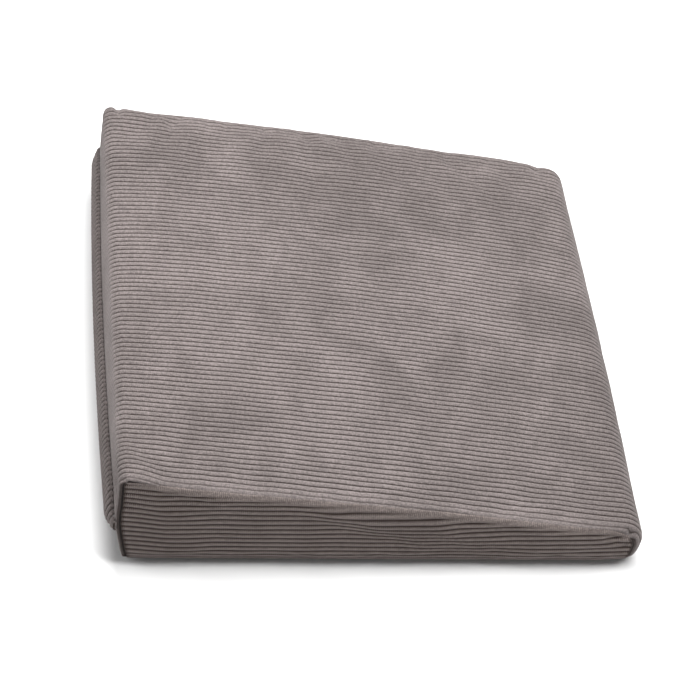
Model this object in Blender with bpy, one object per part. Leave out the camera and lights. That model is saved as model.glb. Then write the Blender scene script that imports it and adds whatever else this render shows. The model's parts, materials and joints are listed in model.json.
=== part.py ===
"""Wedge cushion: a filled corduroy seat wedge with two sewn-in side gussets and a closure lap.

Frame: metres, +Z up, origin at the middle of the base. +X points to the thin side, -X to the
thick side that carries the closure lap, and -Y to the front gusset.
"""

import math

import bmesh
import bpy
from mathutils import Matrix

# --- Driving dimensions -----------------------------------------------------------------------
WIDTH = 0.400             # thick side to thin side, at the top edges
DEPTH = 0.4184            # front gusset seam to back gusset seam
THICK_HEIGHT = 0.091
THIN_HEIGHT = 0.040
BASE_DRAW_IN = 0.008      # how far the foot of the thick side is drawn in
KNEE_HEIGHT = 0.042       # the thick side stands upright above this and slants inwards below
THIN_DRAW_IN = 0.006      # the same at the thin side
CLOTH = 0.002             # thickness of one layer of corduroy, pile included
GAP = 0.00045             # clearance between neighbouring pieces

TOP_CROWN = 0.0060        # rise of the top panel at its middle
SIDE_CROWN = 0.0046       # swell of the thick side at its middle
END_CROWN = 0.0022        # swell of each gusset at its middle
SIDE_CROWN_FOCUS = 8      # power that keeps the side's swell close to the thick side
CORNER_DRAW = 0.0025      # how far the gusset seams curve back at the corners
CORNER_DRAW_FOCUS = 4     # power that keeps this close to the corners

FOOT_RADIUS = 0.0055      # rounding of the outline's corners
THIN_FOOT_RADIUS = 0.010
THIN_TOP_RADIUS = 0.017
THICK_TOP_RADIUS = 0.007
KNEE_RADIUS = 0.060
SMOOTH_BELOW = math.radians(40)  # edges that turn less than this are shaded smooth

SEAM_INSET = 0.0035       # the gusset's edge lies this far inside the body's outline
BODY_STATIONS = 15        # sections along the depth
END_RINGS = 6             # rings from a gusset's seam to its middle
RING_BUNCHING = 1.4       # power that draws these rings together near the seam
ARC_STEPS = 4             # chords in each rounded corner
RUN_STEPS = {"base": 12, "thin": 1, "top": 14, "thick": 3, "foot": 3}

LAP_TOP = 0.056           # height of the lap's sewn edge
LAP_BOTTOM = 0.031        # height of its free folded edge
LAP_THICKNESS = 0.0034    # doubled cloth
LAP_PROUD = 0.0034        # how far the free edge stands off the side
LAP_LENGTH = 0.412
LAP_STATIONS = 16
LAP_TUCK = 0.05           # share of the length over which each end tucks in
LAP_END_PROUD = 0.35      # what is left of the standing off at the ends
LAP_END_THICKNESS = 0.60  # and of the thickness
LAP_END_HEIGHT = 0.34     # and of the height
LAP_TAPER = 0.032         # length over which the height tapers at each end

PALETTE = {
    "main_cloth": (0.245, 0.215, 0.200, 1.0),
    "gusset_cloth": (0.190, 0.165, 0.152, 1.0),
    "lap_cloth": (0.225, 0.198, 0.184, 1.0),
}
CLOTH_ROUGHNESS = 0.95

# Corners of the wedge outline in X and Z, anticlockwise from the foot of the thick side when seen
# from the front, each with its rounding radius and the name of the run that leaves it.
HALF = WIDTH / 2
OUTLINE = (
    {"x": -HALF + BASE_DRAW_IN, "z": 0.0, "radius": FOOT_RADIUS, "run": "base"},
    {"x": HALF - THIN_DRAW_IN, "z": 0.0, "radius": THIN_FOOT_RADIUS, "run": "thin"},
    {"x": HALF, "z": THIN_HEIGHT, "radius": THIN_TOP_RADIUS, "run": "top"},
    {"x": -HALF, "z": THICK_HEIGHT, "radius": THICK_TOP_RADIUS, "run": "thick"},
    {"x": -HALF, "z": KNEE_HEIGHT, "radius": KNEE_RADIUS, "run": "foot"},
)
HUB = (-0.030, 0.034)     # X and Z of the point where the rings of a gusset close


def clear_scene():
    """Remove every object that the start-up scene holds."""
    for obj in list(bpy.data.objects):
        bpy.data.objects.remove(obj, do_unlink=True)


def cloth_material(name):
    """Make the plain corduroy colour that a node carries."""
    material = bpy.data.materials.new(name)
    material.use_nodes = True
    shader = material.node_tree.nodes["Principled BSDF"]
    shader.inputs["Base Color"].default_value = PALETTE[name]
    shader.inputs["Roughness"].default_value = CLOTH_ROUGHNESS
    shader.inputs["Metallic"].default_value = 0.0
    return material


def corner_arc(before, corner, after):
    """Round one corner of the outline with chords that touch both of its sides."""
    here = (corner["x"], corner["z"])
    arms = []
    for other in (before, after):
        dx, dz = other["x"] - here[0], other["z"] - here[1]
        length = math.hypot(dx, dz)
        arms.append((dx / length, dz / length))
    half_angle = math.acos(arms[0][0] * arms[1][0] + arms[0][1] * arms[1][1]) / 2
    radius = corner["radius"]
    setback = radius / math.tan(half_angle)
    start = (here[0] + arms[0][0] * setback, here[1] + arms[0][1] * setback)
    bisector = (arms[0][0] + arms[1][0], arms[0][1] + arms[1][1])
    scale = radius / math.sin(half_angle) / math.hypot(*bisector)
    centre = (here[0] + bisector[0] * scale, here[1] + bisector[1] * scale)
    first = math.atan2(start[1] - centre[1], start[0] - centre[0])
    sweep = math.pi - 2 * half_angle
    points = []
    for step in range(ARC_STEPS + 1):
        angle = first + sweep * step / ARC_STEPS
        points.append((centre[0] + radius * math.cos(angle), centre[1] + radius * math.sin(angle)))
    return points


def wedge_outline():
    """Return the rounded outline as X, Z points, anticlockwise seen from the front."""
    count = len(OUTLINE)
    arcs = [corner_arc(OUTLINE[i - 1], OUTLINE[i], OUTLINE[(i + 1) % count]) for i in range(count)]
    points = []
    for index, arc in enumerate(arcs):
        points.extend(arc)
        end, start = arcs[(index + 1) % count][0], arc[-1]
        steps = RUN_STEPS[OUTLINE[index]["run"]]
        for step in range(1, steps):
            share = step / steps
            points.append((start[0] + (end[0] - start[0]) * share, start[1] + (end[1] - start[1]) * share))
    return points


def wedge_height(x):
    """Height of the uncrowned top panel over the base."""
    return THICK_HEIGHT + (THIN_HEIGHT - THICK_HEIGHT) * (x + HALF) / WIDTH


def shrink_outline(points, inset):
    """Pull an outline inwards by nearly the same distance all round."""
    x_share = 1 - inset / HALF
    shrunk = []
    for x, z in points:
        middle = wedge_height(x) / 2
        z_share = 1 - inset / middle
        shrunk.append((x * x_share, middle + (z - middle) * z_share))
    return shrunk


def crowned(x, z, along):
    """Swell a body point upwards and outwards; along runs from -1 at the front to 1 at the back."""
    swell = 1 - along * along
    across = max(0.0, 1 - (x / HALF) ** 2)
    lift = TOP_CROWN * swell * across * max(0.0, z / wedge_height(x))
    side = max(0.0, -x / HALF) ** SIDE_CROWN_FOCUS * math.sin(math.pi * min(1.0, max(0.0, z / THICK_HEIGHT)))
    return x - SIDE_CROWN * swell * side, z + lift


def seam_depth(x):
    """Distance of the gusset seam from the middle, drawn back at the corners."""
    return DEPTH / 2 - CORNER_DRAW * (x / HALF) ** CORNER_DRAW_FOCUS


def end_depth(x, z):
    """Distance of a gusset point from the middle: the seam line plus the gusset's swell."""
    middle = wedge_height(x) / 2
    across = max(0.0, 1 - (x / HALF) ** 4)
    upright = max(0.0, 1 - ((z - middle) / middle) ** 2)
    return seam_depth(x) + END_CROWN * across * upright


def end_ring(points, share, side, offset):
    """Return one ring of a gusset face, share 1 at the seam and 0 at the hub, offset outwards."""
    placed = []
    for x, z in points:
        near_x = HUB[0] + (x - HUB[0]) * share
        near_z = HUB[1] + (z - HUB[1]) * share
        placed.append((near_x, side * (end_depth(near_x, near_z) + offset), near_z))
    return placed


def loft(name, rings, start_point=None, end_point=None):
    """Join closed rings of equal length with quads, and close the ends to a point or a face."""
    mesh_data = bmesh.new()
    layers = [[mesh_data.verts.new(point) for point in ring] for ring in rings]
    count = len(layers[0])
    for lower, upper in zip(layers, layers[1:]):
        for i in range(count):
            j = (i + 1) % count
            mesh_data.faces.new((lower[i], lower[j], upper[j], upper[i]))
    for layer, tip in ((layers[0], start_point), (layers[-1], end_point)):
        if tip is None:
            mesh_data.faces.new(layer)
            continue
        apex = mesh_data.verts.new(tip)
        for i in range(count):
            mesh_data.faces.new((layer[i], layer[(i + 1) % count], apex))
    bmesh.ops.recalc_face_normals(mesh_data, faces=mesh_data.faces)
    mesh = bpy.data.meshes.new(name)
    mesh_data.to_mesh(mesh)
    mesh_data.free()
    mesh.shade_smooth()
    mesh.set_sharp_from_angle(angle=SMOOTH_BELOW)
    return bpy.data.objects.new(name, mesh)


def ring_shares():
    """Ring sizes from the seam inwards, closest together near the seam."""
    return [1 - (step / END_RINGS) ** RING_BUNCHING for step in range(END_RINGS)]


def make_cushion():
    """Build the filled body: wedge sections along the depth, closed by swollen ends."""
    outline = wedge_outline()
    rings = []
    for share in reversed(ring_shares()[1:]):
        rings.append(end_ring(outline, share, -1, 0.0))
    for station in range(BODY_STATIONS):
        along = -math.cos(math.pi * station / (BODY_STATIONS - 1))
        ring = []
        for x, z in outline:
            crown_x, crown_z = crowned(x, z, along)
            ring.append((crown_x, along * seam_depth(x), crown_z))
        rings.append(ring)
    for share in ring_shares()[1:]:
        rings.append(end_ring(outline, share, 1, 0.0))
    tip = end_depth(*HUB)
    return loft("cushion", rings, (HUB[0], -tip, HUB[1]), (HUB[0], tip, HUB[1]))


def make_gusset(name, side):
    """Build one side panel as a shell of cloth just off the body's end."""
    outline = shrink_outline(wedge_outline(), SEAM_INSET)
    rings = []
    for share in reversed(ring_shares()):
        rings.append(end_ring(outline, share, side, GAP + CLOTH))
    for share in ring_shares():
        rings.append(end_ring(outline, share, side, GAP))
    tip = end_depth(*HUB)
    outer = (HUB[0], side * (tip + GAP + CLOTH), HUB[1])
    inner = (HUB[0], side * (tip + GAP), HUB[1])
    return loft(name, rings, outer, inner)


def lap_section(along):
    """Return the lap's folded section at one place along the depth."""
    tuck = min(1.0, (1 - abs(along)) / LAP_TUCK)
    ease = math.sin(math.pi / 2 * tuck)
    depth = along * LAP_LENGTH / 2
    proud = LAP_PROUD * (LAP_END_PROUD + (1 - LAP_END_PROUD) * ease)
    thickness = LAP_THICKNESS * (LAP_END_THICKNESS + (1 - LAP_END_THICKNESS) * ease)
    taper = math.sin(math.pi / 2 * min(1.0, (1 - abs(along)) * LAP_LENGTH / 2 / LAP_TAPER))
    height = (LAP_TOP - LAP_BOTTOM) * (LAP_END_HEIGHT + (1 - LAP_END_HEIGHT) * taper)
    top = (LAP_TOP + LAP_BOTTOM + height) / 2
    section = []
    levels = (0.0, 0.5, 1.0)
    for level in levels:
        z = top - height * level
        section.append((side_face(z, depth) - GAP - proud * level, depth, z))
    for level in reversed(levels):
        z = top - height * level
        section.append((side_face(z, depth) - GAP - proud * level - thickness, depth, z))
    return section


def side_face(z, y):
    """X of the thick side at a height and depth, outside its rounded knee."""
    x = -HALF + BASE_DRAW_IN * max(0.0, 1 - z / KNEE_HEIGHT)
    return crowned(x, z, y / seam_depth(x))[0]


def make_lap():
    """Build the doubled strip that hangs over the closure on the thick side."""
    rings = []
    for station in range(LAP_STATIONS):
        rings.append(lap_section(-math.cos(math.pi * station / (LAP_STATIONS - 1))))
    return loft("zip_lap", rings)


def centre_across(pieces):
    """Slide every piece along X so that the origin is at the middle of the whole cushion."""
    across = [vertex.co.x for piece in pieces for vertex in piece.data.vertices]
    middle = (min(across) + max(across)) / 2
    for piece in pieces:
        piece.data.transform(Matrix.Translation((-middle, 0.0, 0.0)))


def main():
    """Build every node of the cushion in its own collection."""
    clear_scene()
    collection = bpy.data.collections.new("wedge_cushion")
    bpy.context.scene.collection.children.link(collection)
    pieces = (
        (make_cushion(), "main_cloth"),
        (make_gusset("front_gusset", -1), "gusset_cloth"),
        (make_gusset("back_gusset", 1), "gusset_cloth"),
        (make_lap(), "lap_cloth"),
    )
    centre_across([piece for piece, material in pieces])
    for piece, material in pieces:
        piece.data.materials.append(bpy.data.materials.get(material) or cloth_material(material))
        collection.objects.link(piece)


main()
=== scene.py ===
"""Looks of a wedge cushion in wide-wale corduroy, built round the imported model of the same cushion.

The main panel wraps the fill from the closure on the thick side, over the top, round the thin edge
and back under the base. Two gussets close its ends, and a doubled lap covers the closure.
Lengths are in metres. +X points to the thin side, -Y to the front gusset and +Z up.
"""

import json
import logging
import math
from dataclasses import dataclass, field
from enum import Enum
from functools import cached_property, reduce
from typing import Callable, Sequence

import bmesh
import bpy
import numpy as np
from mathutils import Matrix, Vector

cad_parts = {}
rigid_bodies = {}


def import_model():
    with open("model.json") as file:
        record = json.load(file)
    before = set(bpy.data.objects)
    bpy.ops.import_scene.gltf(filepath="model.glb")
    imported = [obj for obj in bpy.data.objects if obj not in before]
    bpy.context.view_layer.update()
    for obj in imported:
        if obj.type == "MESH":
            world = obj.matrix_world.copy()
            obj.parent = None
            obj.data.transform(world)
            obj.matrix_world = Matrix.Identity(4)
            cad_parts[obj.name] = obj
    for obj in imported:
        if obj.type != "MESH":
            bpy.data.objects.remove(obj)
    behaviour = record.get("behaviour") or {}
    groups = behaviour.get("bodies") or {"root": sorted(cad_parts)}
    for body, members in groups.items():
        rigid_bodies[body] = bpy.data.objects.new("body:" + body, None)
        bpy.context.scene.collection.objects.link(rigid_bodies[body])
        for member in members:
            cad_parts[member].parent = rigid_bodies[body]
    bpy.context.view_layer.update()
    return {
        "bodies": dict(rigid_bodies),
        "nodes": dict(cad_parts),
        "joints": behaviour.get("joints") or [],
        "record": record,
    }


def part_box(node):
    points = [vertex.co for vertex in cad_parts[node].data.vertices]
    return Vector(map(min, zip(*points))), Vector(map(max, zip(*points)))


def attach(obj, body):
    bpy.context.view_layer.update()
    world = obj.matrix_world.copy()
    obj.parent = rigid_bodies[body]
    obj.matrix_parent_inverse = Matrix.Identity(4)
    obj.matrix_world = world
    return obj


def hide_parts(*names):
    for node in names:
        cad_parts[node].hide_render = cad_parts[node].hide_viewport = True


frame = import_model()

LOG = logging.getLogger("wedge_cushion")
BODY = "root"

#: Keeps a lookup inside its table, and a division off zero.
TINY = 1e-6

Array = np.ndarray
Pair = tuple[Array, Array]
Span = tuple[float, float]
Object = bpy.types.Object
NodeTree = bpy.types.NodeTree
Socket = bpy.types.NodeSocket
Colour = tuple[float, float, float, float]
Inputs = dict[int | str, object]


class Finish(Enum):
    """Material slots of the record, one for each cloth."""

    MAIN = "main_cloth"
    GUSSET = "gusset_cloth"
    LAP = "lap_cloth"


def smooth(value: Array, low: float, high: float) -> Array:
    """Ease from 0 at low to 1 at high."""
    t = np.clip((value - low) / (high - low), 0.0, 1.0)
    return t * t * (3 - 2 * t)


# --- The wedge's form ---------------------------------------------------------------------------


class Outline:
    """A rounded polygon in X and Z, walked clockwise as seen from the front."""

    CHORD = 0.0003
    LEAST_CHORDS = 4
    NORMAL_REACH = 3

    def __init__(self, corners: Sequence[tuple[float, float, float]]) -> None:
        """Round the corners and measure the outline.

        Args:
            corners: X, Z and radius in walking order; the walk starts halfway along the last side.
        """
        points = self._rounded(corners)
        closed = np.vstack([points, points[:1]])
        run = np.concatenate([[0.0], np.cumsum(np.hypot(*np.diff(closed, axis=0).T))])
        self.length = float(run[-1])
        self._s = np.append(np.arange(0.0, self.length, self.CHORD), self.length)
        self._x = np.interp(self._s, run, closed[:, 0])
        self._z = np.interp(self._s, run, closed[:, 1])
        ring_x, ring_z = self._x[:-1], self._z[:-1]
        tx, tz = (np.roll(v, -self.NORMAL_REACH) - np.roll(v, self.NORMAL_REACH) for v in (ring_x, ring_z))
        size = np.hypot(tx, tz)
        self._nx, self._nz = (np.append(v, v[0]) for v in (-tz / size, tx / size))

    @staticmethod
    def _rounded(corners: Sequence[tuple[float, float, float]]) -> Array:
        """Turn each corner with short chords.

        Args:
            corners: X, Z and radius of each corner.

        Returns:
            Points in X and Z.
        """
        places = np.array(corners)[:, :2]
        points = [(places[0] + places[-1]) / 2]
        for index, (here, (_, _, radius)) in enumerate(zip(places, corners)):
            arms = [places[other] - here for other in (index - 1, (index + 1) % len(corners))]
            arms = [arm / np.linalg.norm(arm) for arm in arms]
            half = math.acos(float(np.clip(arms[0] @ arms[1], -1, 1))) / 2
            bisector = (arms[0] + arms[1]) / np.linalg.norm(arms[0] + arms[1])
            centre = here + bisector * radius / math.sin(half)
            start = here + arms[0] * radius / math.tan(half) - centre
            sweep = -(math.pi - 2 * half)
            chords = max(Outline.LEAST_CHORDS, int(radius * abs(sweep) / Outline.CHORD))
            for angle in sweep * np.arange(chords + 1) / chords:
                cos, sin = math.cos(angle), math.sin(angle)
                points.append(centre + np.array([[cos, -sin], [sin, cos]]) @ start)
        return np.array(points)

    def at(self, run: Array) -> tuple[Array, Array, Array, Array]:
        """Look up X, Z and the outward normal's X and Z at distances along the walk."""
        s = np.mod(run, self.length)
        return tuple(np.interp(s, self._s, values) for values in (self._x, self._z, self._nx, self._nz))


@dataclass(frozen=True)
class EdgeRoll:
    """How a panel's edge rolls over to its seam and turns in behind it."""

    radius: float
    first_turn: float
    tuck_radius: float = 0.0008
    last_turn: float = math.radians(135)
    tuck: float = 0.004
    table_step: float = 0.00005
    table_spare: float = 0.03

    @property
    def seam(self) -> float:
        """Cloth from the start of the roll to the seam."""
        return self.radius * self.first_turn

    @property
    def length(self) -> float:
        """Cloth from the start of the roll to the end of the tucked allowance."""
        return self.seam + self.tuck_radius * (self.last_turn - self.first_turn) + self.tuck

    def place(self, past: Array) -> Pair:
        """Place cloth that lies past the start of the roll.

        Args:
            past: Distances along the cloth, 0 at the start of the roll.

        Returns:
            The sink below the panel's surface and the travel towards the end, both from the start.
        """
        grid = np.arange(0.0, self.length + self.table_spare, self.table_step)
        tucked = np.clip((grid - self.seam) / self.tuck_radius, 0.0, self.last_turn - self.first_turn)
        turned = np.minimum(grid / self.radius, self.first_turn) + tucked
        sink = np.cumsum(np.sin(turned)) * self.table_step
        travel = np.cumsum(np.cos(turned)) * self.table_step
        past = np.clip(past, 0.0, None)
        return np.interp(past, grid, sink), np.interp(past, grid, travel)


@dataclass(frozen=True)
class Wedge:
    """The filled wedge before any crease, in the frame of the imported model."""

    half_width: float = 0.200
    half_depth: float = 0.2092
    thick_height: float = 0.0910
    thin_height: float = 0.0400
    foot_draw: float = 0.008
    thin_draw: float = 0.006
    knee: float = 0.042
    corner_radii: tuple[float, ...] = (0.0600, 0.0070, 0.0170, 0.0100, 0.0055)
    top_crown: float = 0.006
    side_crown: float = 0.0038
    thin_crown: float = 0.0040
    side_flatness: int = 8
    end_crown: float = 0.002
    end_flatness: int = 4
    corner_draw: float = 0.0030
    corner_flatness: int = 6
    base_draw: float = 0.005
    base_reach: float = 0.016
    seam_lift: float = 0.003
    frame_inset: float = 0.0035
    soft_roll: EdgeRoll = EdgeRoll(0.0062, math.radians(50))
    side_roll: EdgeRoll = EdgeRoll(0.0088, math.radians(78))
    thick_share: float = 0.30
    ear_height: float = 0.0034
    ear_width: Span = (0.010, 0.036)
    ear_length: Span = (0.74, 0.985)
    back_lift: float = 0.0024
    back_width: Span = (-0.10, 0.60)
    back_length: Span = (0.45, 0.95)
    side_reach: Span = (0.004, 0.034)
    seam_gap: float = 0.0003
    side_gap: float = 0.0018
    hub_offset: float = -0.03

    @property
    def shift(self) -> float:
        """X of the outline's own middle in the frame."""
        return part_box("front_gusset")[0].x + self.half_width - self.frame_inset

    @property
    def hub(self) -> Span:
        """X and Z of the point that the gussets' rings run round."""
        x = self.shift + self.hub_offset
        return x, float(self.height(np.array(x))) / 2

    @cached_property
    def outline(self) -> Outline:
        """Round the main panel's outline, from the closure up over the top.

        Returns:
            The outline.
        """
        left, right = self.shift - self.half_width, self.shift + self.half_width
        places = (
            (left, self.knee), (left, self.thick_height), (right, self.thin_height),
            (right - self.thin_draw, 0.0), (left + self.foot_draw, 0.0),
        )
        return Outline([(*place, radius) for place, radius in zip(places, self.corner_radii)])

    def centred(self, x: Array) -> Array:
        """Return X as a share of the half width, -1 at the thick side and 1 at the thin one."""
        return (x - self.shift) / self.half_width

    def inward(self, x: Array) -> Array:
        """Return the distance from the thick side."""
        return x - self.shift + self.half_width

    def side_share(self, x: Array) -> Array:
        """Return 1 at the thick and thin sides, where the edge roll turns furthest, and 0 between."""
        return 1 - smooth(self.half_width - np.abs(x - self.shift), *self.side_reach)

    def side_scale(self, x: Array) -> Array:
        """Return the size of the side roll, smaller at the thick side."""
        return np.where(x < self.shift, self.thick_share, 1.0)

    def _blend(self, x: Array, of_roll: Callable[[EdgeRoll], float]) -> Array:
        """Return a measure of the rolled edge, which changes from the soft roll's to the side roll's."""
        soft = of_roll(self.soft_roll)
        return soft + (of_roll(self.side_roll) * self.side_scale(x) - soft) * self.side_share(x)

    def seam_inset(self, x: Array) -> Array:
        """Return how far inside the outline the gusset's seam runs."""
        return self._blend(x, lambda roll: roll.radius * (1 - math.cos(roll.first_turn)))

    def seam_reach(self, x: Array) -> Array:
        """Return the cloth distance from the middle of the depth to the seam."""
        return self.half_depth + self._blend(x, lambda roll: roll.seam - roll.radius)

    def height(self, x: Array) -> Array:
        """Return the flat wedge's height at x."""
        share = self.inward(x) / (2 * self.half_width)
        return self.thick_height + (self.thin_height - self.thick_height) * share

    def seam_depth(self, x: Array, z: Array) -> Array:
        """Return how far the gussets' rims lie from the middle."""
        drawn = self.corner_draw * np.clip(z / self.height(x), 0, 1) * self.centred(x) ** self.corner_flatness
        return self.half_depth - drawn - self.base_draw * (1 - smooth(z, 0.0, self.base_reach))

    def crown(self, x: Array, z: Array, along: Array) -> Pair:
        """Swell the main panel.

        Args:
            x: Places in X.
            z: Places in Z.
            along: Places in depth, -1 at the front gusset and 1 at the back one.

        Returns:
            The swollen X and Z.
        """
        centred = self.centred(x)
        swell = 1 - along * along
        lift = (self.top_crown * swell + self.seam_lift) * np.clip(1 - centred**2, 0, None)
        ear = 1 - smooth(self.inward(x), *self.ear_width)
        lift = lift + self.ear_height * ear * smooth(-along, *self.ear_length)
        thick_half = 1 - smooth(centred, *self.back_width)
        lift = lift + self.back_lift * thick_half * smooth(along, *self.back_length)
        lift = lift * np.clip(z / self.height(x), 0, None)
        push = 0.0
        sides = ((1, self.thin_crown, self.thin_height), (-1, self.side_crown, self.thick_height))
        for way, crown, height in sides:
            bulge = np.clip(way * centred, 0, None) ** self.side_flatness
            push = push + way * crown * (bulge * np.sin(math.pi * np.clip(z / height, 0, 1)))
        return x + push * swell, z + lift

    def end_depth(self, x: Array, z: Array) -> Array:
        """Measure how far a gusset's surface lies from the middle.

        Args:
            x: Places in X.
            z: Places in Z.

        Returns:
            The distance at each place.
        """
        middle = self.height(x) / 2
        across = np.clip(1 - self.centred(x) ** self.end_flatness, 0, None)
        upright = np.clip(1 - ((z - middle) / middle) ** 2, 0, None)
        return self.seam_depth(x, z) + self.end_crown * across * upright

    def panel(self, run: Array, reach: Array) -> Array:
        """Place points of the main panel.

        Args:
            run: Distances along the outline.
            reach: Cloth distances from the middle of the depth, negative towards the front.

        Returns:
            Points, with one more axis than run.
        """
        x, z, nx, nz = self.outline.at(run)
        far, end, share = np.abs(reach), self.seam_depth(x, z), self.side_share(x)
        rolled = []
        for roll, scale in ((self.soft_roll, np.ones_like(x)), (self.side_roll, self.side_scale(x))):
            flat, start = self.half_depth - roll.radius * scale, end - roll.radius * scale
            sink, travel = roll.place((far - flat) / scale)
            rolled.append((np.where(far <= flat, far * start / flat, start + travel * scale), sink * scale))
        depth, sink = (soft + (side - soft) * share for soft, side in zip(*rolled))
        x, z = x - nx * sink, z - nz * sink
        x, z = self.crown(x, z, np.sign(reach) * np.clip(depth / end, 0, 1))
        return np.stack([x, np.sign(reach) * depth, z], axis=-1)


# --- Mesh helpers -------------------------------------------------------------------------------


def new_object(name: str, points: Array, faces: list[list[int]]) -> Object:
    """Make a smooth-shaded mesh object.

    Args:
        name: The object's name.
        points: Vertex positions.
        faces: Indices of each face's vertices.

    Returns:
        The object, linked to the scene.
    """
    mesh = bpy.data.meshes.new(name)
    mesh.from_pydata(points.reshape(-1, 3).tolist(), [], faces)
    mesh.shade_smooth()
    mesh.update()
    obj = bpy.data.objects.new(name, mesh)
    bpy.context.scene.collection.objects.link(obj)
    return obj


def new_tube(name: str, points: Array, tips: Sequence[Array] = ()) -> Object:
    """Make a closed tube from rings of points.

    Args:
        name: The object's name.
        points: Points by ring and place on the ring.
        tips: The points that close the first and the last ring; without them both ends are filled flat.

    Returns:
        The object, its faces turned outwards.
    """
    rows, columns = points.shape[:2]
    i, j = np.meshgrid(np.arange(rows - 1), np.arange(columns), indexing="ij")
    near, far, k = i * columns, (i + 1) * columns, (j + 1) % columns
    faces = np.stack([near + j, near + k, far + k, far + j], -1).reshape(-1, 4).tolist()
    count = rows * columns
    first = np.arange(columns)
    for tip, ring in zip(range(count, count + len(tips)), (first[::-1], first + count - columns)):
        faces += np.stack([ring, np.roll(ring, -1), np.full_like(ring, tip)], -1).tolist()
    obj = new_object(name, np.vstack([points.reshape(-1, 3), *tips]), faces)
    work = bmesh.new()
    work.from_mesh(obj.data)
    filled = bmesh.ops.holes_fill(work, edges=[edge for edge in work.edges if edge.is_boundary])
    bmesh.ops.triangulate(work, faces=filled["faces"])
    bmesh.ops.recalc_face_normals(work, faces=work.faces)
    work.to_mesh(obj.data)
    work.free()
    return obj


def with_tips(values: Array, start: float = 0.0, end: float = 0.0) -> Array:
    """Add the values at a tube's two tips to those at its rings."""
    return np.append(values.ravel(), [start, end])


def store(obj: Object, name: str, values: Array) -> None:
    """Keep one number for each vertex under a name."""
    attribute = obj.data.attributes.new(name, "FLOAT", "POINT")
    attribute.data.foreach_set("value", np.asarray(values, np.float32).ravel())


def store_cloth_map(obj: Object, run: Array, across: Array, run_length: float = 0.0) -> None:
    """Keep the cloth's own coordinates, in metres along and across the wales, as a UV map.

    Args:
        obj: The piece.
        run: Distance along the wales at each vertex.
        across: Distance across the wales at each vertex.
        run_length: Length of a closed run, or 0 where the run is open.
    """
    mesh = obj.data
    loops, starts, totals = (
        np.zeros(size, np.int32) for size in (len(mesh.loops), len(mesh.polygons), len(mesh.polygons))
    )
    mesh.loops.foreach_get("vertex_index", loops)
    u, v = run.ravel()[loops], across.ravel()[loops]
    if run_length:
        mesh.polygons.foreach_get("loop_start", starts)
        mesh.polygons.foreach_get("loop_total", totals)
        highest = np.repeat(np.maximum.reduceat(u, starts), totals)
        u = np.where(highest - u > run_length / 2, u + run_length, u)
    uv = np.stack([u, v], -1).astype(np.float32).ravel()
    mesh.uv_layers.new(name="cloth").data.foreach_set("uv", uv)


# --- Corduroy relief ----------------------------------------------------------------------------


class TreeBuilder:
    """Short-hand for building a node tree."""

    def __init__(self, tree: NodeTree) -> None:
        """Keep the tree."""
        self.tree = tree

    @classmethod
    def group(cls, kind: str, name: str, inputs: dict[str, str], outputs: dict[str, str]) -> "TreeBuilder":
        """Start a node group.

        Args:
            kind: The tree's type.
            name: The group's name.
            inputs: Type of each input by name.
            outputs: Type of each output by name.

        Returns:
            A builder for the group's tree.
        """
        tree = bpy.data.node_groups.new(name, kind)
        for side, sockets in (("INPUT", inputs), ("OUTPUT", outputs)):
            for key, value in sockets.items():
                tree.interface.new_socket(key, in_out=side, socket_type="NodeSocket" + value)
        return cls(tree)

    def feed(self, node: bpy.types.Node, inputs: Inputs) -> None:
        """Give a node's inputs their sockets or plain values.

        Args:
            node: The node.
            inputs: A socket or a plain value by input.
        """
        for key, value in inputs.items():
            if isinstance(value, Socket):
                self.tree.links.new(value, node.inputs[key])
            else:
                node.inputs[key].default_value = value

    def add(self, kind: str, inputs: Inputs | None = None, **settings: object) -> bpy.types.Node:
        """Add a node.

        Args:
            kind: The node's type.
            inputs: A socket or a plain value by input.
            settings: The node's properties.

        Returns:
            The node.
        """
        node = self.tree.nodes.new(kind)
        for key, value in settings.items():
            setattr(node, key, value)
        self.feed(node, inputs or {})
        return node

    def math(self, operation: str, *values: object) -> Socket:
        """Add a math node and return its result."""
        return self.add("ShaderNodeMath", dict(enumerate(values)), operation=operation).outputs[0]

    def times(self, *factors: object) -> Socket:
        """Multiply values in turn."""
        return reduce(lambda first, second: self.math("MULTIPLY", first, second), factors)

    def scaled(self, vector: Socket, factor: Socket) -> Socket:
        """Scale a vector or a colour by a factor."""
        return self.add("ShaderNodeVectorMath", {0: vector, "Scale": factor}, operation="SCALE").outputs[0]

    def ramp(self, value: object, low: object, high: object, start: float = 0.0, end: float = 1.0) -> Socket:
        """Ease a value from one range to another."""
        inputs = {"Value": value, "From Min": low, "From Max": high, "To Min": start, "To Max": end}
        return self.add("ShaderNodeMapRange", inputs, interpolation_type="SMOOTHSTEP").outputs["Result"]

    def noise(self, vector: Socket, scale: Socket | float, detail: float, **more: float) -> Socket:
        """Add a noise texture and return its value."""
        inputs = {"Vector": vector, "Scale": scale, "Detail": detail, **more}
        return self.add("ShaderNodeTexNoise", inputs, noise_dimensions="3D").outputs[0]

    def off_crown(self, phase: Socket) -> Socket:
        """Return how far a wale's phase is from its crown, which is 0, towards the groove, which is 1."""
        return self.math("ABSOLUTE", self.math("SUBTRACT", self.times(self.math("FRACT", phase), 2.0), 1.0))


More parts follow.
